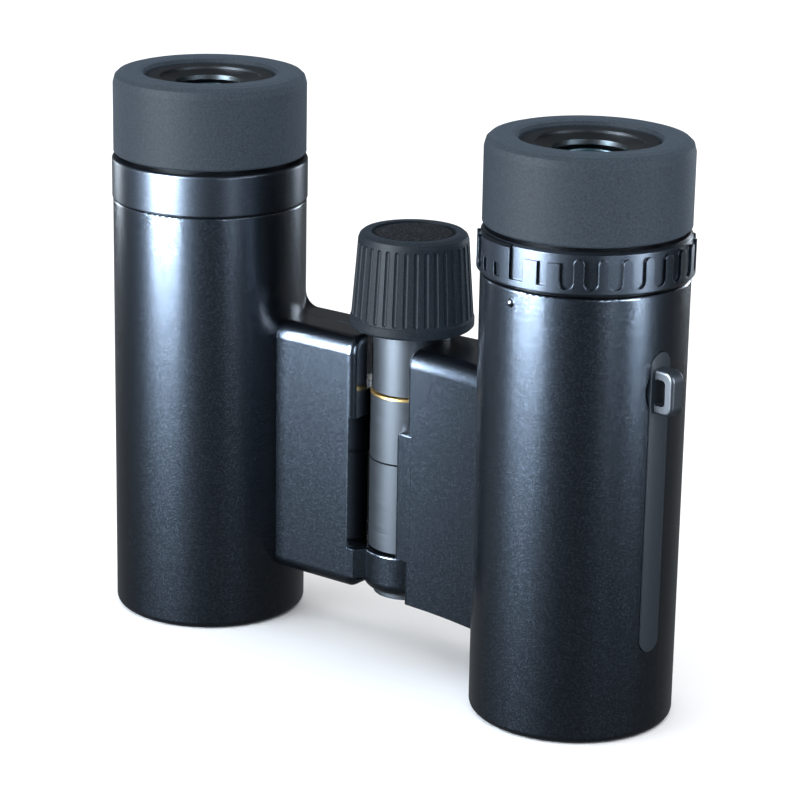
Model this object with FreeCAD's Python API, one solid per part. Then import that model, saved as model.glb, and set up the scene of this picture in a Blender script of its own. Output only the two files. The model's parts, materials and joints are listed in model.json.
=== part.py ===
import FreeCAD, Part
import math
import os

os.makedirs("parts", exist_ok=True)
V = FreeCAD.Vector
UP = V(0, 0, 1)

# Compact roof-prism binoculars, all sizes in mm.
# Z is up, eyepieces on top. The two optical axes stand at x = +-AXIS_X, y = 0.
# The central hinge axis stands behind them at x = 0, y = HINGE_Y.

AXIS_X = 36.25
HINGE_Y = 6.3
ARM_DEG = math.degrees(math.atan2(HINGE_Y, AXIS_X))

# barrels
BARREL_R = 15.5
BORE_R = 14.0
BODY_TOP = 68.5
RING_TOP = 75.2
COLLAR_R = 15.65
LEFT_MOUTH_R = 12.5
RIGHT_MOUTH_R = 13.5

# arms, measured from the hinge axis
ARM_BOTTOM = 9.0
ARM_TOP = 50.6
FRONT_Y = -8.0
LEFT_BACK_Y = 3.3
RIGHT_BACK_Y = 4.8
LEFT_SEAM_Y = -1.2
RIGHT_SEAM_Y = 0.8
BRACKET_X = 5.3
RECESS_X = 6.2
LIP_X = 3.0

# hinge column
TUBE_R = 4.2
TUBE_BORE_R = 3.18
KNUCKLE_BORE_R = 4.25
UPPER_R = 6.06
LOWER_R = 6.36
CLEAR_R = 6.8
FOOT_TOP = 15.8
FOOT_R = 7.2
LOWER_KNUCKLE = (16.2, 30.75)
MIDDLE_KNUCKLE = (31.05, 41.45)
WASHER_TOP = 41.85
UPPER_KNUCKLE = (42.15, 51.9)

# focus gear
LEFT_FOCUS_Z = 11.4
RIGHT_FOCUS_Z = 21.4
FOCUS_ARM_T = 1.6
FOCUS_UP = 1.6
FOCUS_DOWN = 0.8
SPINDLE_R = 1.5

# knob
KNOB_BOTTOM = 52.3
KNOB_TOP = 67.5
KNOB_SEAT = KNOB_TOP - 1.1
KNOB_R = 9.75
KNOB_TOP_R = 8.55

# eyepieces
TUBE_OUT_R = 12.5
TUBE_TOP = 88.0
CUP_BOTTOM = 75.8
CUP_TOP = 88.9
CUP_SEAT = 87.3
CUP_R = 15.4
CUP_HOLE_R = 10.5
CUP_LIFT = 5.5
CUP_TWIST = 80.0
GUIDE_PIN_Z = 84.0
GUIDE_PIN_R = 0.8

# strap rail
RAIL_W = 3.8
RAIL_R = 15.75
RAIL_Z = (13.5, 59.7)
LUG_Z = (50.6, 57.4)
LUG_W = 2.6
LUG_TIP_R = 19.1
LUG_ROUND = 0.5
LUG_BAR = 1.4

# diopter ring
RING_PITCH = 360.0 / 28
RELIEF_R = 16.05
RELIEF_BASE_R = 15.5
RIB_TOP = 74.2
VALLEY_W = 2.1
VALLEY_LOW = 69.75
INDEX_PAD_DEG = 27.5
FIRST_VALLEY_DEG = 33.1
VALLEY_COUNT = 24

# The lug stands out on one side only, so every piece is moved over to centre the outside box on x = 0.
LEFT_EDGE = AXIS_X + COLLAR_R
RIGHT_EDGE = (AXIS_X + (LUG_TIP_R - LUG_ROUND) * math.cos(math.radians(ARM_DEG))
              + (LUG_W / 2 - LUG_ROUND) * math.sin(math.radians(ARM_DEG)) + LUG_ROUND)
CENTRE_SHIFT = (RIGHT_EDGE - LEFT_EDGE) / 2


def save(name, shape):
    shape.translate(V(-CENTRE_SHIFT, 0, 0))
    shape.exportStep("parts/" + name + ".step")


def rod(radius, z0, z1, x=0.0, y=0.0):
    return Part.makeCylinder(radius, z1 - z0, V(x, y, z0), UP)


def ring(r_out, r_in, z0, z1, x=0.0, y=0.0):
    return rod(r_out, z0, z1, x, y).cut(rod(r_in, z0 - 1, z1 + 1, x, y))


def box(x0, x1, y0, y1, z0, z1):
    return Part.makeBox(x1 - x0, y1 - y0, z1 - z0, V(x0, y0, z0))


def turned(points, x=0.0, y=0.0):
    corners = [V(r, 0, z) for r, z in points]
    face = Part.Face(Part.makePolygon(corners + corners[:1]))
    solid = face.revolve(V(0, 0, 0), UP, 360)
    solid.translate(V(x, y, 0))
    return solid


def prism_z(points, z0, z1):
    corners = [V(px, py, z0) for px, py in points]
    return Part.Face(Part.makePolygon(corners + corners[:1])).extrude(V(0, 0, z1 - z0))


def turn(shape, degrees, x=0.0, y=0.0):
    copy = shape.copy()
    copy.rotate(V(x, y, 0), UP, degrees)
    return copy


def moved(shape, x, y, z=0.0):
    copy = shape.copy()
    copy.translate(V(x, y, z))
    return copy


def group(shapes):
    return Part.makeCompound(shapes)


def edges_where(shape, test):
    return [edge for edge in shape.Edges if test(edge)]


def is_level(edge, z):
    box_ = edge.BoundBox
    return abs(box_.ZMin - z) < 0.01 and abs(box_.ZMax - z) < 0.01


def is_circle_at(edge, radius, z):
    if edge.Curve.TypeId != "Part::GeomCircle":
        return False
    return abs(edge.Curve.Radius - radius) < 0.01 and is_level(edge, z)


def rounded_rim(shape, radius, z, size):
    return shape.makeFillet(size, edges_where(shape, lambda e: is_circle_at(e, radius, z)))


def lens(r, z_front, sag_front, z_back, sag_back):
    # a lens standing on the Z axis: each face bulges outward by its own sag, edges at z_front, z_back
    front = Part.Arc(V(-r, 0, z_front), V(0, 0, z_front - sag_front), V(r, 0, z_front)).toShape()
    back = Part.Arc(V(-r, 0, z_back), V(0, 0, z_back + sag_back), V(r, 0, z_back)).toShape()
    box_ = rod(r, z_front - 9, z_back + 9)
    outline = Part.Wire([front, Part.makeLine(V(r, 0, z_front), V(r, 0, z_back)),
                         back, Part.makeLine(V(-r, 0, z_back), V(-r, 0, z_front))])
    half = Part.Face(outline).common(box(0, r + 1, -1, 1, z_front - 9, z_back + 9))
    return half.revolve(V(0, 0, 0), UP, 360).common(box_)


# ---------------------------------------------------------------- barrels and arms

def strap_slot(grow, r0, r1):
    # a round-ended bar standing on the outermost line of the right barrel, between two radii
    width = RAIL_W / 2 + grow
    z0 = RAIL_Z[0] - grow
    z1 = RAIL_Z[1] + grow
    plate = box(0, 25, -width, width, z0 + width, z1 - width)
    low = Part.makeCylinder(width, 25, V(0, 0, z0 + width), V(1, 0, 0))
    high = Part.makeCylinder(width, 25, V(0, 0, z1 - width), V(1, 0, 0))
    bar = plate.fuse(low).fuse(high).common(ring(r1, r0, 0, 70))
    return to_outside(bar)


def to_outside(shape):
    # +X is turned to face straight away from the hinge
    return moved(turn(shape, -ARM_DEG), AXIS_X, 0)


def build_strap_rail():
    rail = strap_slot(0, 14.8, RAIL_R)
    lug = box(15.0, LUG_TIP_R, -LUG_W / 2, LUG_W / 2, LUG_Z[0], LUG_Z[1])
    corners = edges_where(lug, lambda e: e.BoundBox.XMin > LUG_TIP_R - 0.1 and e.BoundBox.YLength > 1)
    lug = lug.makeFillet(1.5, corners)
    rims = edges_where(lug, lambda e: e.BoundBox.XMax > RAIL_R and e.BoundBox.YLength < 0.01)
    lug = lug.makeFillet(LUG_ROUND, rims)
    hole = box(RAIL_R - 0.2, LUG_TIP_R - LUG_BAR, -5, 5, LUG_Z[0] + LUG_BAR, LUG_Z[1] - LUG_BAR)
    hole = hole.makeFillet(0.7, edges_where(hole, lambda e: e.BoundBox.YLength > 5))
    save("strap_rail", rail.fuse(to_outside(lug.cut(hole))).removeSplitter())


def focus_window(side, z0):
    # the slot through which a focus arm reaches from its barrel to the hinge tube
    low = z0 - FOCUS_DOWN - 0.3
    high = z0 + FOCUS_ARM_T + FOCUS_UP + 0.3
    slot = box(-AXIS_X, 0, -2.4, 2.4, low, high)
    angle = -ARM_DEG if side > 0 else 180 + ARM_DEG
    return moved(turn(slot, angle), side * AXIS_X, 0)


def front_corner(block, x):
    # the upright front edge of an arm that faces the hinge
    return edges_where(block, lambda e: e.BoundBox.ZLength > 10 and e.BoundBox.YMax < -7
                       and abs(e.BoundBox.XMin - x) < 0.1 and abs(e.BoundBox.XMax - x) < 0.1)


def right_arm_block():
    low_front = Part.Arc(V(4.9, -7.6, 0), V(13.0, -8.3, 0), V(25.0, -10.8, 0)).toShape()
    outline = Part.Wire([low_front, Part.makeLine(V(25.0, -10.8, 0), V(25.0, RIGHT_BACK_Y, 0)),
                         Part.makeLine(V(25.0, RIGHT_BACK_Y, 0), V(4.9, RIGHT_BACK_Y, 0)),
                         Part.makeLine(V(4.9, RIGHT_BACK_Y, 0), V(4.9, -7.6, 0))])
    block = Part.Face(outline).extrude(V(0, 0, ARM_TOP - ARM_BOTTOM))
    block.translate(V(0, 0, ARM_BOTTOM))
    top_front = edges_where(block, lambda e: is_level(e, ARM_TOP) and e.BoundBox.YMax < -7)
    block = block.makeFillet(2.6, top_front)
    block = block.makeFillet(0.8, front_corner(block, 4.9))
    lip = prism_z([(LIP_X, -7.5), (6.0, -7.69), (6.0, -2), (LIP_X, -2)], 16.1, 37.2)
    step = edges_where(lip, lambda e: is_level(e, 37.2) and e.BoundBox.XMax < LIP_X + 0.1)
    lip = lip.makeFillet(1.0, step)
    lip = lip.makeFillet(0.5, front_corner(lip, LIP_X))
    return block.fuse(lip)


def left_arm_block():
    block = box(-25, -BRACKET_X, FRONT_Y, LEFT_BACK_Y, ARM_BOTTOM, ARM_TOP)
    for z, size in ((ARM_TOP, 2.6), (ARM_BOTTOM, 2.2)):
        front = edges_where(block, lambda e: is_level(e, z) and e.BoundBox.YMax < -7)
        block = block.makeFillet(size, front)
    block = block.makeFillet(1.2, front_corner(block, -BRACKET_X))
    recess = box(-RECESS_X, 0, -12, 9, FOOT_TOP, 37.5)
    foot = rounded_rim(rod(FOOT_R, ARM_BOTTOM, FOOT_TOP), FOOT_R, ARM_BOTTOM, 2.0)
    foot = rounded_rim(foot, FOOT_R, FOOT_TOP, 0.3)
    web = prism_z([(-9, -7.9), (-5.0, -7.9), (-3.5, -6.2), (0, 0), (-9, 0)], ARM_BOTTOM + 2, FOOT_TOP)
    return block.cut(recess).fuse(foot).fuse(web)


def cut_hinge_room(block, cuts):
    for radius, z0, z1 in cuts:
        block = block.cut(rod(radius, z0, z1))
    return block


def arm_blend(side, front_y, back_y):
    # the soft hollow where the top of an arm runs into its barrel
    size = 2.6
    profile = box(0, size, -20, 20, 0, size).cut(
        Part.makeCylinder(size, 40, V(size, -20, size), V(0, 1, 0)))
    reach = math.sqrt(BARREL_R ** 2 - (back_y + HINGE_Y) ** 2)
    front = front_y + HINGE_Y + 3.0
    bar = profile.common(box(-1, size + 1, front, back_y + HINGE_Y, -1, size + 1))
    bar = bar.fuse(box(-6, 0, front, back_y + HINGE_Y, 0, size))
    if side > 0:
        bar = bar.mirror(V(0, 0, 0), V(1, 0, 0))
    return moved(bar, side * (AXIS_X - reach), 0, ARM_TOP)


def barrel(side, arm, mouth_r, window_z):
    tube = rod(BARREL_R, 0, BODY_TOP)
    tube = rounded_rim(tube, BARREL_R, 0, 1.0)
    tube = rounded_rim(tube, BARREL_R, BODY_TOP, 0.4)
    tube = moved(tube, side * AXIS_X, 0)
    shell = tube.fuse(moved(arm, 0, HINGE_Y))
    shell = shell.cut(rod(BORE_R, -1, BODY_TOP - 3, side * AXIS_X, 0))
    shell = shell.cut(rod(mouth_r, BODY_TOP - 4, BODY_TOP + 1, side * AXIS_X, 0))
    return shell.cut(focus_window(side, window_z))


def build_left_barrel():
    cuts = [(7.0, WASHER_TOP, 60), (LOWER_R, MIDDLE_KNUCKLE[0], WASHER_TOP),
            (CLEAR_R, FOOT_TOP, MIDDLE_KNUCKLE[0]), (TUBE_R, 0, 60)]
    arm = cut_hinge_room(left_arm_block(), cuts)
    shell = barrel(-1, arm, LEFT_MOUTH_R, LEFT_FOCUS_Z)
    shell = shell.fuse(arm_blend(-1, FRONT_Y, LEFT_BACK_Y))
    shell = shell.cut(rod(BORE_R, -1, BODY_TOP - 3, -AXIS_X, 0))
    pocket = box(-19.2, -9.0, -6.0, LEFT_SEAM_Y + 0.1, 17.5, 47)
    back = box(-19.9, -4.0, LEFT_SEAM_Y, 9, 16.4, 60)
    shell = shell.cut(moved(pocket, 0, HINGE_Y))
    cover = shell.common(moved(box(-19.9, -5.3, LEFT_SEAM_Y + 0.12, 9, 16.4, 60), 0, HINGE_Y))
    shell = shell.cut(moved(back, 0, HINGE_Y))
    save("left_barrel_shell", shell.removeSplitter())
    save("left_arm_back_cover", cover.removeSplitter())


def build_right_barrel():
    cuts = [(UPPER_R, WASHER_TOP + 0.3, 60), (CLEAR_R, LOWER_KNUCKLE[1], WASHER_TOP + 0.3),
            (LOWER_R, LOWER_KNUCKLE[0], LOWER_KNUCKLE[1]), (FOOT_R + 0.3, 0, LOWER_KNUCKLE[0])]
    arm = cut_hinge_room(right_arm_block(), cuts)
    shell = barrel(1, arm, RIGHT_MOUTH_R, RIGHT_FOCUS_Z)
    shell = shell.fuse(arm_blend(1, -9.0, RIGHT_BACK_Y))
    shell = shell.cut(rod(BORE_R, -1, BODY_TOP - 3, AXIS_X, 0))
    pocket = box(9.0, 19.0, -6.6, RIGHT_SEAM_Y + 0.1, 26.5, 47)
    back = box(4.0, 20.2, RIGHT_SEAM_Y, 9, 26.0, 60)
    shell = shell.cut(moved(pocket, 0, HINGE_Y))
    cover = shell.common(moved(box(4.9, 20.2, RIGHT_SEAM_Y + 0.12, 9, 26.0, 60), 0, HINGE_Y))
    shell = shell.cut(moved(back, 0, HINGE_Y))
    shell = shell.cut(strap_slot(0.06, 14.8, 17))
    scoop = Part.makeSphere(5.6, V(20.1, 0, (LUG_Z[0] + LUG_Z[1]) / 2))
    shell = shell.cut(to_outside(scoop))
    dot = Part.makeSphere(0.75, V(15.2, 0, 66.4))
    shell = shell.fuse(moved(turn(dot, -99.5), AXIS_X, 0)).cut(rod(RIGHT_MOUTH_R, 65, 70, AXIS_X, 0))
    save("right_barrel_shell", shell.removeSplitter())
    save("right_arm_back_cover", cover.removeSplitter())


# ---------------------------------------------------------------- hinge column and focus gear

def tube_window(z0, start, sweep):
    # an opening in the hinge tube wide enough for a focus arm tip over an angle of swing
    low = z0 - FOCUS_DOWN - 0.3
    high = z0 + FOCUS_ARM_T + FOCUS_UP + 0.3
    wedge = Part.makeCylinder(9, high - low, V(0, 0, low), UP, sweep)
    return turn(wedge, start)


def build_hinge():
    tube = ring(TUBE_R, TUBE_BORE_R, ARM_BOTTOM, 54.4)
    tube = tube.cut(tube_window(LEFT_FOCUS_Z, 180 + ARM_DEG - 28, 56))
    tube = tube.cut(tube_window(RIGHT_FOCUS_Z, -ARM_DEG - 58 - 28, 114))
    save("hinge_tube", moved(tube, 0, HINGE_Y))
    middle = ring(LOWER_R, TUBE_R, MIDDLE_KNUCKLE[0], MIDDLE_KNUCKLE[1])
    save("middle_hinge_knuckle", moved(middle, 0, HINGE_Y))
    washer = ring(LOWER_R, TUBE_R, MIDDLE_KNUCKLE[1], WASHER_TOP)
    save("hinge_brass_washer", moved(washer, 0, HINGE_Y))
    upper = ring(UPPER_R, KNUCKLE_BORE_R, UPPER_KNUCKLE[0], UPPER_KNUCKLE[1])
    save("upper_hinge_knuckle", moved(upper, 0, HINGE_Y))
    lower = ring(LOWER_R, KNUCKLE_BORE_R, LOWER_KNUCKLE[0], LOWER_KNUCKLE[1])
    window = moved(focus_window(1, RIGHT_FOCUS_Z), 0, -HINGE_Y)
    save("lower_hinge_knuckle", moved(lower.cut(window), 0, HINGE_Y))
    nut = ring(5.4, TUBE_R, 52.2, 54.4)
    for angle in (0, 90, 180, 270):
        nut = nut.cut(turn(box(4.7, 6, -0.6, 0.6, 53.4, 55), angle))
    save("hinge_top_nut", moved(nut, 0, HINGE_Y))
    cap = rod(5.4, 8.2, ARM_BOTTOM).fuse(rod(TUBE_BORE_R, ARM_BOTTOM, 9.6))
    cap = cap.cut(box(-4, 4, -0.5, 0.5, 8, 8.6))
    save("hinge_bottom_cap", moved(cap, 0, HINGE_Y))


def build_carriage():
    body = rod(TUBE_BORE_R - 0.08, 10.8, 44.0)
    body = body.cut(rod(SPINDLE_R + 0.08, 24.8, 45))
    for z in (LEFT_FOCUS_Z, RIGHT_FOCUS_Z):
        body = body.cut(ring(4, 2.3, z - 0.12, z + FOCUS_ARM_T + 0.12))
    save("focus_carriage", moved(body, 0, HINGE_Y))
    bush = ring(TUBE_BORE_R, SPINDLE_R + 0.06, 47.0, 54.4)
    save("focus_bush", moved(bush, 0, HINGE_Y))


def focus_arm(side, z0):
    # measured along the line from barrel axis to hinge axis
    span = math.hypot(AXIS_X, HINGE_Y)
    bar = box(10, span - 5.2, -2.0, 2.0, z0, z0 + FOCUS_ARM_T)
    tip = box(span - 6, span - 2.5, -1.2, 1.2, z0, z0 + FOCUS_ARM_T)
    arm = bar.fuse(tip).cut(rod(13.92, 0, 90))
    angle = 180 - ARM_DEG if side > 0 else ARM_DEG
    return moved(turn(arm, angle), side * AXIS_X, 0)


def build_knob():
    grip_top_r = KNOB_TOP_R + 0.1
    groove_r = 0.42
    foot_z = KNOB_BOTTOM + 1.8
    outline = [(7.6, KNOB_BOTTOM), (KNOB_R - 0.4, KNOB_BOTTOM), (KNOB_R, KNOB_BOTTOM + 0.4),
               (KNOB_R, KNOB_BOTTOM + 1.6), (KNOB_R - 0.15, foot_z), (grip_top_r, KNOB_SEAT),
               (8.4, KNOB_TOP - 0.5), (7.9, KNOB_TOP - 0.1), (7.3, KNOB_TOP), (6.6, KNOB_TOP - 0.1),
               (6.6, KNOB_SEAT), (7.6, KNOB_SEAT)]
    grip = turned(outline)
    slope = V(grip_top_r - KNOB_R + 0.15, 0, KNOB_SEAT - foot_z).normalize()
    length = 11.1
    start = V(9.72, 0, foot_z + 0.5)
    end = start.add(V(slope.x, 0, slope.z).multiply(length))
    groove = Part.makeCylinder(groove_r, length, start, slope)
    groove = groove.fuse([Part.makeSphere(groove_r, start), Part.makeSphere(groove_r, end)])
    grip = grip.cut([turn(groove, 10.0 * index) for index in range(36)])
    save("focus_knob_grip", moved(grip, 0, HINGE_Y))
    core = turned([(SPINDLE_R, 56.4), (SPINDLE_R, KNOB_SEAT), (7.6, KNOB_SEAT), (7.6, 52.6), (6.0, 52.6), (6.0, 56.4)])
    save("focus_knob_core", moved(core, 0, HINGE_Y))
    cap = turned([(0, KNOB_SEAT), (0, 67.35), (5.9, 67.25), (6.5, 67.0), (6.5, KNOB_SEAT)])
    save("focus_knob_cap", moved(cap, 0, HINGE_Y))
    spindle = rod(SPINDLE_R, 27.0, KNOB_SEAT)
    spindle = spindle.fuse(ring(3.0, 1.0, 54.8, 56.4))
    save("focus_spindle", moved(spindle, 0, HINGE_Y))


# ---------------------------------------------------------------- optics

def objective(side, label, arm_z):
    x = side * AXIS_X
    bezel = turned([(11.2, 0.8), (12.6, 0.4), (14.0, 0.4), (14.0, 5.0), (11.2, 5.0)], x)
    save(label + "_objective_bezel", bezel)
    cell = ring(13.92, 12.0, 9.0, 25.5).fuse(ring(13.92, 10.5, 7.5, 9.0))
    cell = moved(cell, x, 0)
    save(label + "_objective_cell", cell)
    crown = lens(12.0, 9.3, 1.21, 12.0, 1.5)
    flint_blank = rod(12.0, 12.0, 15.2)
    save(label + "_crown_lens", moved(crown, x, 0))
    save(label + "_flint_lens", moved(flint_blank.cut(crown), x, 0))
    save(label + "_objective_retainer", ring(12.0, 10.9, 15.2, 17.0, x, 0))
    save(label + "_focus_arm", focus_arm(side, arm_z))


def prism_pair():
    # a half-penta prism below and a roof prism above, with a thin slanting air gap between them
    s = 1.2
    base = 37.5
    half = [(-7, 0), (7, 0), (0.556, 6.44), (-7, 3.31)]
    roof = [(-7, 14.3), (7, 14.3), (2.9, 4.4)]
    solids = []
    for outline in (half, roof):
        corners = [V(px * s, -7.5, base + pz * s) for px, pz in outline]
        solids.append(Part.Face(Part.makePolygon(corners + corners[:1])).extrude(V(0, 15, 0)))
    inward = V(-0.924, 0, 0.383)
    along = V(0.383, 0, 0.924)
    top = V(7 * s, 0, base + 14.3 * s)
    far = top.add(V(along.x, 0, along.z).multiply(6))
    arm_a = far.add(V(inward.x * 20, 20, inward.z * 20))
    arm_b = far.add(V(inward.x * 20, -20, inward.z * 20))
    wedge = Part.Face(Part.makePolygon([far, arm_a, arm_b, far])).extrude(V(-along.x * 30, 0, -along.z * 30))
    return solids[0], solids[1].common(wedge)


def build_prisms(side, label):
    half, roof = prism_pair()
    cage = rod(BORE_R, 35.5, 58.0)
    cage = cage.cut(rod(6.2, 30, 60)).cut(box(-8.4, 8.4, -7.5, 7.5, 37.5, 60))
    for angle in (90, 270):
        cage = cage.cut(turn(box(9.5, 16, -6, 6, 39, 55), angle))
    clip = ring(12.4, 6.2, 58.0, 58.5).cut(box(-14, -9, -14, 14, 57, 60)).cut(box(9, 14, -14, 14, 57, 60))
    for name, shape in (("half_prism", half), ("roof_prism", roof), ("prism_cage", cage), ("prism_clip", clip)):
        if side > 0:
            shape = shape.mirror(V(0, 0, 0), V(1, 0, 0))
        save(label + "_" + name, moved(shape, side * AXIS_X, 0))


def radial_pin(radius, r0, r1, z, angle):
    pin = Part.makeCylinder(radius, r1 - r0, V(r0, 0, z), V(1, 0, 0))
    return turn(pin, angle)


def build_eyepiece(side, label):
    x = side * AXIS_X
    tube = turned([(6.8, 62.0), (TUBE_OUT_R, 62.0), (TUBE_OUT_R, 85.0), (10.1, 85.0), (10.1, TUBE_TOP - 0.2),
                   (9.9, TUBE_TOP), (8.1, TUBE_TOP), (8.0, TUBE_TOP - 0.1), (8.0, 66.0), (6.8, 66.0)])
    tube = tube.cut(rod(13, 58, 64.0).cut(rod(9.4, 57, 65)))
    pins = [radial_pin(GUIDE_PIN_R, 12.0, 13.6, GUIDE_PIN_Z, 120 * index) for index in range(3)]
    if side > 0:
        pins.append(radial_pin(0.6, 12.0, 14.2, 71.5, 60))
    for pin in pins:
        tube = tube.cut(pin)
    save(label + "_eyepiece_tube", moved(tube, x, 0))
    save(label + "_eyepiece_pins", moved(group(pins), x, 0))
    save(label + "_field_lens", moved(lens(8.0, 67.2, 1.1, 69.0, 0.8), x, 0))
    save(label + "_lens_spacer", ring(8.0, 7.0, 69.2, 82.8, x, 0))
    save(label + "_eye_lens", moved(lens(8.0, 82.8, 0.0001, 84.6, 1.9), x, 0))
    lock = turned([(7.6, 84.8), (8.0, 84.8), (8.0, 87.55), (7.8, 87.55), (5.55, 87.0), (5.55, 86.3), (6.9, 85.7)])
    save(label + "_eye_lens_ring", moved(lock, x, 0))


def helical_slot(r0, r1, half_height, start, sweep, rise):
    # a slot of constant height that climbs as it goes round
    pitch = rise * 360.0 / sweep
    path = Part.makeHelix(pitch, rise, (r0 + r1) / 2)
    corners = [V(r0, 0, -half_height), V(r1, 0, -half_height), V(r1, 0, half_height), V(r0, 0, half_height)]
    profile = Part.makePolygon(corners + corners[:1])
    slot = Part.Wire(path.Edges).makePipeShell([profile], True, True)
    return turn(slot, start)


def build_eyecup(side, label):
    x = side * AXIS_X
    core_r = 14.0
    rubber = [(core_r, CUP_BOTTOM), (CUP_R - 0.3, CUP_BOTTOM), (CUP_R, CUP_BOTTOM + 0.3), (CUP_R, CUP_TOP - 1.9),
              (CUP_R - 0.3, CUP_TOP - 0.8), (14.5, CUP_TOP - 0.25), (13.6, CUP_TOP), (11.4, CUP_TOP),
              (CUP_HOLE_R + 0.25, CUP_TOP - 0.25), (CUP_HOLE_R, CUP_TOP - 0.8), (CUP_HOLE_R, CUP_SEAT),
              (core_r, CUP_SEAT)]
    save(label + "_eyecup_rubber", turned(rubber, x))
    core = turned([(13.38, 76.1), (core_r, 76.1), (core_r, CUP_SEAT), (CUP_HOLE_R, CUP_SEAT), (CUP_HOLE_R, 85.3),
                   (12.6, 85.3), (12.6, 77.4), (13.38, 77.4)])
    per_degree = CUP_LIFT / CUP_TWIST
    sweep = CUP_TWIST + 11.0
    for index in range(3):
        slot = helical_slot(12.2, 14.4, 0.95, 120 * index - CUP_TWIST - 5.5, sweep, per_degree * sweep)
        slot.translate(V(0, 0, GUIDE_PIN_Z - CUP_LIFT - 5.5 * per_degree))
        core = core.cut(slot)
    save(label + "_eyecup_core", moved(core, x, 0))
    save(label + "_eyecup_glide_ring", ring(13.3, 12.58, 76.2, 77.1, x, 0))


def build_ocular_seats():
    collar = rounded_rim(rod(COLLAR_R, BODY_TOP, RING_TOP), COLLAR_R, RING_TOP, 0.5)
    collar = rounded_rim(collar, COLLAR_R, BODY_TOP, 0.3).cut(rod(TUBE_OUT_R, 60, 80))
    save("left_ocular_collar", moved(collar, -AXIS_X, 0))
    sleeve = ring(13.5, 12.58, 64.5, 74.6)
    sleeve = sleeve.cut(turn(box(11, 15, -0.66, 0.66, 71.5 - 0.96, 75), 60))
    save("right_ocular_sleeve", moved(sleeve, AXIS_X, 0))


def ring_relief():
    # finger ribs with round tops between round-bottomed valleys, two square tabs and a smooth index pad
    half = VALLEY_W / 2
    valley = box(14, 17, -half, half, VALLEY_LOW + half, 76).fuse(
        Part.makeCylinder(half, 3, V(14, 0, VALLEY_LOW + half), V(1, 0, 0)))
    cuts = [turn(valley, FIRST_VALLEY_DEG + RING_PITCH * index) for index in range(VALLEY_COUNT)]
    cuts.append(turn(box(14, 17, -1.25, 1.25, 70.05, 76), 4.5))
    cuts.append(turn(box(14, 17, -0.73, 0.73, 70.05, 76), 19.9))
    tip_r = RELIEF_R * math.radians(RING_PITCH) / 2 - half
    above_tabs = Part.makeCylinder(17, 5, V(0, 0, RIB_TOP - tip_r), UP, 360 - INDEX_PAD_DEG)
    relief = turned([(15.0, 68.8), (15.65, 68.8), (RELIEF_R, 69.2), (RELIEF_R, 74.6), (15.6, 75.0), (15.0, 75.0)])
    relief = relief.cut(cuts + [above_tabs])
    tip = Part.makeCylinder(tip_r, 3, V(14, 0, RIB_TOP - tip_r), V(1, 0, 0)).common(ring(RELIEF_R, 15.0, 68, 76))
    tips = [turn(tip, FIRST_VALLEY_DEG + RING_PITCH * (index + 0.5)) for index in range(VALLEY_COUNT - 1)]
    windows = [turn(box(RELIEF_BASE_R, 17, -0.7, 0.7, 69.9, 71.9), angle) for angle in (-9.8, -21.5)]
    return relief.fuse(tips).cut(windows)


def build_diopter_ring():
    r0 = 13.57
    body = turned([(r0, 68.8), (RELIEF_BASE_R, 68.8), (RELIEF_BASE_R, 74.75), (15.1, 75.2), (r0, 75.2)])
    body = turn(body.fuse(ring_relief()).removeSplitter(), -99.5)
    sweep = 100.0 + 8.0
    groove = helical_slot(13.0, 14.45, 0.72, 60 - sweep / 2, sweep, 0.6 * sweep / 100)
    groove.translate(V(0, 0, 71.5 - 0.3 * sweep / 100))
    save("diopter_ring", moved(body.cut(groove), AXIS_X, 0))


build_left_barrel()
build_right_barrel()
for side, label in ((-1, "left"), (1, "right")):
    objective(side, label, LEFT_FOCUS_Z if side < 0 else RIGHT_FOCUS_Z)
    build_prisms(side, label)
    build_eyepiece(side, label)
    build_eyecup(side, label)
build_strap_rail()
build_ocular_seats()
build_diopter_ring()
build_hinge()
build_carriage()
build_knob()
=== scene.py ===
import json
import math

import bpy
from mathutils import Matrix, Vector


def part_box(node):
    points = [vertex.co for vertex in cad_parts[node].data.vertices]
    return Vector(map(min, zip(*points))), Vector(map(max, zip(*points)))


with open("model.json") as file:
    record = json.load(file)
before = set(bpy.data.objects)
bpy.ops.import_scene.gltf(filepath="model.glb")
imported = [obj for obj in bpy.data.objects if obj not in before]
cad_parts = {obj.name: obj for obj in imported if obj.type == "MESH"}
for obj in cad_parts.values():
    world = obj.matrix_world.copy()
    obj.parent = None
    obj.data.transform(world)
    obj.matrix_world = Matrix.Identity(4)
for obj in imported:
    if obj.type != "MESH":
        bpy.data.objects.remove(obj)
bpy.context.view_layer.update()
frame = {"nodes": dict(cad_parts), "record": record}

MM = 0.001
SCENE = bpy.context.scene


def middle(node):
    """The centre of a CAD node's box at rest."""
    low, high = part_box(node)
    return [(a + b) / 2 for a, b in zip(low, high)]


HINGE_X, HINGE_Y, _ = middle("hinge_tube")


# ---------------------------------------------------------------- how a material is put together

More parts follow.
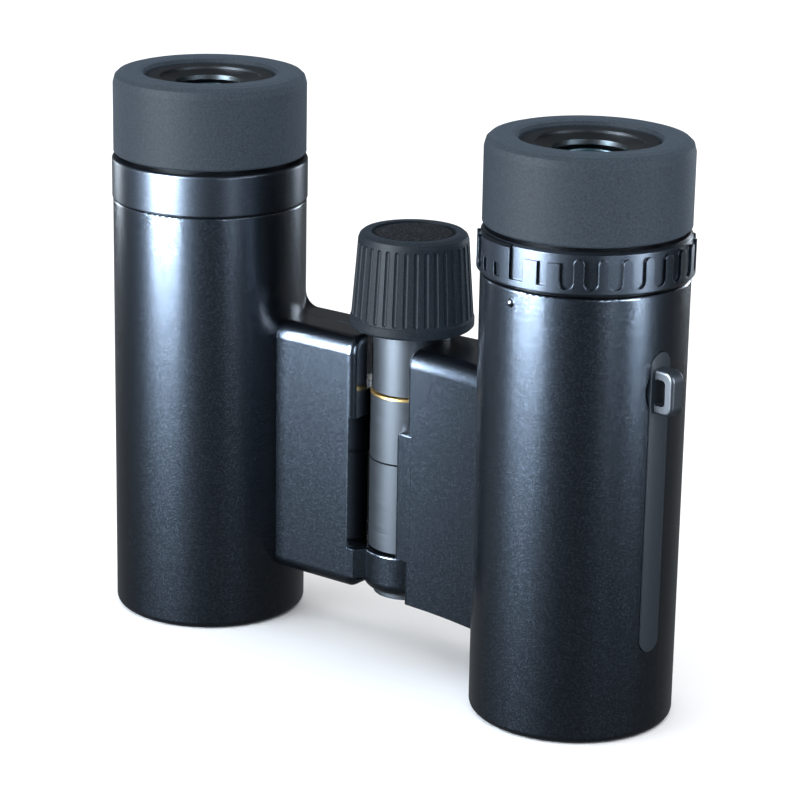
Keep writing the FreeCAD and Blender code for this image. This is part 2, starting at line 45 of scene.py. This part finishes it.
class Paint:
    """A material and the short words used to build its node tree."""

    def __init__(self, name):
        self.material = bpy.data.materials.new(name)
        self.material.use_nodes = True
        self.tree = self.material.node_tree
        self.shader = next(n for n in self.tree.nodes if n.type == "BSDF_PRINCIPLED")

    def set(self, **values):
        """Set the shader's own sockets, with an underscore for each space in a socket's name."""
        for key, value in values.items():
            self.shader.inputs[key.replace("_", " ")].default_value = value
        return self

    def node(self, kind, **settings):
        made = self.tree.nodes.new(kind)
        for key, value in settings.items():
            setattr(made, key, value)
        return made

    def link(self, source, target):
        self.tree.links.new(source, target)

    def coords(self):
        return self.node("ShaderNodeTexCoord").outputs["Object"]

    def noise(self, scale, detail=2.0, roughness=0.5, vector=None):
        made = self.node("ShaderNodeTexNoise")
        made.inputs["Scale"].default_value = scale
        made.inputs["Detail"].default_value = detail
        made.inputs["Roughness"].default_value = roughness
        self.link(vector or self.coords(), made.inputs["Vector"])
        return made.outputs["Fac"]

    def cell_colours(self, scale):
        """One random colour for each cell."""
        made = self.node("ShaderNodeTexVoronoi")
        made.inputs["Scale"].default_value = scale
        self.link(self.coords(), made.inputs["Vector"])
        return made.outputs["Color"]

    def remap(self, value, source, target=(0.0, 1.0)):
        """Stretch the range source to the range target, and clamp what lies outside."""
        made = self.node("ShaderNodeMapRange")
        for key, number in zip(("From Min", "From Max", "To Min", "To Max"), (*source, *target)):
            made.inputs[key].default_value = number
        self.link(value, made.inputs["Value"])
        return made.outputs["Result"]

    def blend(self, factor, first, second):
        """A colour between two colours. Inputs 6 and 7 and output 2 are the node's colour sockets."""
        made = self.node("ShaderNodeMix", data_type="RGBA")
        made.inputs[6].default_value = first
        made.inputs[7].default_value = second
        self.link(factor, made.inputs["Factor"])
        return made.outputs[2]

    def vector_math(self, operation, first, second=None, scale=None):
        made = self.node("ShaderNodeVectorMath", operation=operation)
        self.link(first, made.inputs[0])
        if isinstance(second, tuple):
            made.inputs[1].default_value = second
        elif second is not None:
            self.link(second, made.inputs[1])
        if scale is not None:
            made.inputs["Scale"].default_value = scale
        return made.outputs["Vector"]

    def bump(self, height, strength, depth_mm):
        made = self.node("ShaderNodeBump")
        made.inputs["Strength"].default_value = strength
        made.inputs["Distance"].default_value = depth_mm * MM
        self.link(height, made.inputs["Height"])
        self.link(made.outputs["Normal"], self.shader.inputs["Normal"])


# ---------------------------------------------------------------- kinds of material

EDGE_ROUNDING_MM = 0.15     # painted edges shade as if rounded by this much
GLINT_RANGE = (0.55, 1.0)   # the part of the flakes' random range that turns from dark to bright
RUBBER_GRAIN = 3400.0       # grains to a metre
LATHE_STRETCH = 0.02        # across the axis the lines change at this share of their rate along it
LATHE_GLOSS = 0.06          # how far a line's roughness lies above or below the mean


def flake_paint(name, dark, bright, flake_mm, tilt, roughness, coat, coat_roughness):
    """Metallic paint: small flakes, each leaning its own way, under a clear coat."""
    paint = Paint(name).set(Metallic=1.0, Roughness=roughness)
    paint.set(Coat_Weight=coat, Coat_Roughness=coat_roughness)
    flakes = paint.cell_colours(1.0 / (flake_mm * MM))
    centred = paint.vector_math("SUBTRACT", flakes, (0.5, 0.5, 0.5))
    lean = paint.vector_math("SCALE", centred, scale=tilt)
    edge = paint.node("ShaderNodeBevel", samples=4)
    edge.inputs["Radius"].default_value = EDGE_ROUNDING_MM * MM
    leaning = paint.vector_math("ADD", edge.outputs["Normal"], lean)
    facing = paint.vector_math("NORMALIZE", leaning)
    paint.link(facing, paint.shader.inputs["Normal"])
    split = paint.node("ShaderNodeSeparateColor")
    paint.link(flakes, split.inputs["Color"])
    glint = paint.remap(split.outputs["Green"], GLINT_RANGE)
    paint.link(paint.blend(glint, dark, bright), paint.shader.inputs["Base Color"])
    return paint.material


def rubber(name, colour, pale, roughness):
    """Matte moulded rubber with a fine skin and a trace of pale dust."""
    paint = Paint(name).set(Roughness=roughness, Specular_IOR_Level=0.04)
    paint.set(Sheen_Weight=0.03, Sheen_Roughness=0.5, Sheen_Tint=(0.6, 0.75, 1.0, 1.0))
    grains = paint.noise(RUBBER_GRAIN, detail=3.0, roughness=0.6)
    tint = paint.remap(grains, (0.35, 0.65))
    paint.link(paint.blend(tint, colour, pale), paint.shader.inputs["Base Color"])
    paint.bump(grains, strength=0.5, depth_mm=0.02)
    return paint.material


def plain(name, colour, metallic, roughness, grain=None):
    """One even colour, smooth or with a fine grain of so many grains to a metre."""
    paint = Paint(name).set(Base_Color=colour, Metallic=metallic, Roughness=roughness)
    if grain:
        paint.bump(paint.noise(grain), strength=0.4, depth_mm=0.01)
    return paint.material


def turned_metal(name, colour, roughness, line_mm):
    """Metal with fine lathe lines running round the Z axis."""
    paint = Paint(name).set(Metallic=1.0, Base_Color=colour)
    squeeze = paint.node("ShaderNodeMapping")
    squeeze.inputs["Scale"].default_value = (LATHE_STRETCH, LATHE_STRETCH, 1.0)
    paint.link(paint.coords(), squeeze.inputs["Vector"])
    lines = paint.noise(1.0 / (line_mm * MM), roughness=0.6, vector=squeeze.outputs["Vector"])
    gloss = paint.remap(lines, (0.3, 0.7), (roughness - LATHE_GLOSS, roughness + LATHE_GLOSS))
    paint.link(gloss, paint.shader.inputs["Roughness"])
    paint.bump(lines, strength=0.25, depth_mm=0.02)
    return paint.material


def coated_glass(name, colour):
    """Glass with a blue-green anti-reflection coating."""
    paint = Paint(name).set(Base_Color=colour, Roughness=0.02, IOR=1.52, Transmission_Weight=0.85)
    paint.set(Coat_Weight=0.6, Coat_Roughness=0.02, Coat_Tint=(0.35, 0.85, 1.0, 1.0))
    return paint.material


# ---------------------------------------------------------------- the materials, by the record's slots

SLOT_MATERIALS = {
    "barrel_paint": flake_paint(
        "barrel_flake_paint", dark=(0.014, 0.021, 0.031, 1), bright=(0.052, 0.067, 0.088, 1),
        flake_mm=0.15, tilt=0.045, roughness=0.27, coat=1.0, coat_roughness=0.20),
    "knob_cap": flake_paint(
        "cap_flake_paint", dark=(0.012, 0.015, 0.02, 1), bright=(0.15, 0.17, 0.2, 1),
        flake_mm=0.16, tilt=0.25, roughness=0.4, coat=0.2, coat_roughness=0.3),
    "ring_metal": flake_paint(
        "ring_lacquer", dark=(0.026, 0.031, 0.039, 1), bright=(0.033, 0.040, 0.050, 1),
        flake_mm=0.2, tilt=0.015, roughness=0.33, coat=0.15, coat_roughness=0.2),
    "eyecup_rubber": rubber(
        "eyecup_rubber", colour=(0.032, 0.045, 0.061, 1), pale=(0.052, 0.070, 0.092, 1), roughness=0.62),
    "knob_rubber": rubber(
        "knob_rubber", colour=(0.015, 0.021, 0.029, 1), pale=(0.026, 0.035, 0.047, 1), roughness=0.5),
    "hinge_metal": turned_metal("gunmetal", (0.034, 0.038, 0.043, 1), roughness=0.46, line_mm=0.12),
    "brass": turned_metal("brass", (0.62, 0.42, 0.16, 1), roughness=0.3, line_mm=0.1),
    "steel": turned_metal("bright_steel", (0.55, 0.55, 0.55, 1), roughness=0.3, line_mm=0.1),
    "strap_plastic": plain(
        "strap_plastic", (0.018, 0.026, 0.037, 1), metallic=0.3, roughness=0.38, grain=3000.0),
    "black_plastic": plain(
        "black_plastic", (0.006, 0.006, 0.007, 1), metallic=0.0, roughness=0.55, grain=3500.0),
    "black_aluminium": plain("black_anodised", (0.012, 0.015, 0.019, 1), metallic=0.5, roughness=0.42),
    "lens_ring": plain("lens_ring_satin", (0.08, 0.085, 0.09, 1), metallic=1.0, roughness=0.35),
    "bare_aluminium": plain("bare_aluminium", (0.7, 0.71, 0.73, 1), metallic=1.0, roughness=0.35),
    "eye_glass": coated_glass("eye_lens_glass", (0.12, 0.24, 0.28, 1)),
    "clear_glass": coated_glass("clear_glass", (0.85, 0.92, 0.92, 1)),
}


def dress(node, body_slot):
    """Give a CAD piece the material of its slot in the record."""
    piece = frame["nodes"][node]
    piece.data.materials.clear()
    piece.data.materials.append(SLOT_MATERIALS[body_slot])


# ---------------------------------------------------------------- floor and lights

# Sizes in metres, powers in watts and azimuths in degrees round from the right-hand side.

FLOOR_SIZE = 6.0
FLOOR_GAP = 0.02 * MM       # keeps the floor just clear of the rims that stand on it
SKY_SIZE = 3.0
SKY_HEIGHT = 1.0
SKY_POWER = 52.0
SOFTBOX_TINT = (0.82, 0.91, 1.0)


def add_floor():
    """A pale floor that isn't mirrored in the paint and throws no shadow."""
    bpy.ops.mesh.primitive_plane_add(size=FLOOR_SIZE, location=(0, 0, -FLOOR_GAP))
    floor = bpy.context.object
    floor.name = "floor"
    floor.data.materials.append(plain("floor_white", (0.88, 0.88, 0.885, 1), metallic=0.0, roughness=0.9))
    floor.visible_glossy = False
    floor.visible_shadow = False


def add_sheet_light(name, width, height, power, location):
    """A rectangle of light, facing down, that the camera doesn't see."""
    light = bpy.data.lights.new(name, "AREA")
    light.shape = "RECTANGLE"
    light.size = width
    light.size_y = height
    light.energy = power
    lamp = bpy.data.objects.new(name, light)
    SCENE.collection.objects.link(lamp)
    lamp.location = location
    lamp.visible_camera = False
    return lamp


def add_softbox(name, azimuth, distance, low, high, width, power):
    """An upright, slightly blue sheet of light, facing the middle, that only the shiny surfaces mirror."""
    angle = math.radians(azimuth)
    spot = (distance * math.cos(angle), distance * math.sin(angle), (low + high) / 2)
    lamp = add_sheet_light(name, width, high - low, power, spot)
    inwards = Vector((0, 0, spot[2])) - lamp.location
    lamp.rotation_euler = inwards.to_track_quat("-Z", "Y").to_euler()
    lamp.data.color = SOFTBOX_TINT
    lamp.visible_diffuse = False


def add_sky_panel():
    """A wide sheet overhead: even light on the floor and the matte parts, not mirrored by the paint."""
    lamp = add_sheet_light("sky_panel", SKY_SIZE, SKY_SIZE, SKY_POWER, (0, 0, SKY_HEIGHT))
    lamp.visible_glossy = False


def add_lights():
    add_softbox("left_strip", azimuth=-110, distance=0.25, low=0.02, high=0.22, width=0.15, power=11.5)
    add_softbox("right_strip", azimuth=3, distance=0.28, low=0.02, high=0.22, width=0.06, power=2.0)
    add_softbox("front_right_strip", azimuth=-25, distance=0.55, low=0.0, high=0.30, width=0.06, power=2.4)
    add_softbox("back_left_strip", azimuth=178, distance=0.35, low=0.0, high=0.14, width=0.10, power=0.35)
    add_softbox("back_right_strip", azimuth=80, distance=0.35, low=0.0, high=0.14, width=0.10, power=0.5)
    add_sky_panel()


def add_world():
    """White where the camera sees past the floor, and a dim cool room for everything else."""
    world = bpy.data.worlds.new("studio")
    SCENE.world = world
    world.use_nodes = True
    tree = world.node_tree
    tree.nodes.clear()

    def background(colour, strength):
        made = tree.nodes.new("ShaderNodeBackground")
        made.inputs["Color"].default_value = colour
        made.inputs["Strength"].default_value = strength
        return made.outputs["Background"]

    path = tree.nodes.new("ShaderNodeLightPath")
    mix = tree.nodes.new("ShaderNodeMixShader")
    out = tree.nodes.new("ShaderNodeOutputWorld")
    tree.links.new(path.outputs["Is Camera Ray"], mix.inputs[0])
    tree.links.new(background((0.9, 0.95, 1.0, 1), 0.10), mix.inputs[1])
    tree.links.new(background((1, 1, 1, 1), 1.0), mix.inputs[2])
    tree.links.new(mix.outputs[0], out.inputs["Surface"])


# ---------------------------------------------------------------- camera

SENSOR_MM = 36.0
LENS_MM = 134.54
NEAR_LIMIT = 0.01
CAMERA_RIGHT = 0.27025      # where the camera stands: to the right of the hinge,
CAMERA_FRONT = 0.36089      # in front of it,
CAMERA_HEIGHT = 0.17958     # and above the table
YAW = -0.6465               # radians it turns from facing the back, negative to the left
PITCH = 0.3004              # radians it looks down
ROLL = -0.0184              # radians it leans about its own line of sight


def add_camera():
    """A long lens, 17 degrees above the table and 37 degrees round to the right of the front."""
    data = bpy.data.cameras.new("camera")
    data.sensor_width = SENSOR_MM
    data.lens = LENS_MM
    data.clip_start = NEAR_LIMIT
    camera = bpy.data.objects.new("camera", data)
    SCENE.collection.objects.link(camera)
    forward = Vector((math.sin(YAW) * math.cos(PITCH), math.cos(YAW) * math.cos(PITCH), -math.sin(PITCH)))
    right = Vector((math.cos(YAW), -math.sin(YAW), 0))
    down = forward.cross(right)
    right_rolled = right * math.cos(ROLL) + down * math.sin(ROLL)
    down_rolled = down * math.cos(ROLL) - right * math.sin(ROLL)
    turn = Matrix((right_rolled, -down_rolled, -forward)).transposed()
    spot = Matrix.Translation((HINGE_X + CAMERA_RIGHT, HINGE_Y - CAMERA_FRONT, CAMERA_HEIGHT))
    camera.matrix_world = spot @ turn.to_4x4()
    SCENE.camera = camera


# ---------------------------------------------------------------- the scene

for entry in frame["record"]["subparts"]:
    dress(entry["node"], entry["material_slot"])

add_floor()
add_lights()
add_world()
add_camera()
SCENE.view_settings.view_transform = "Standard"
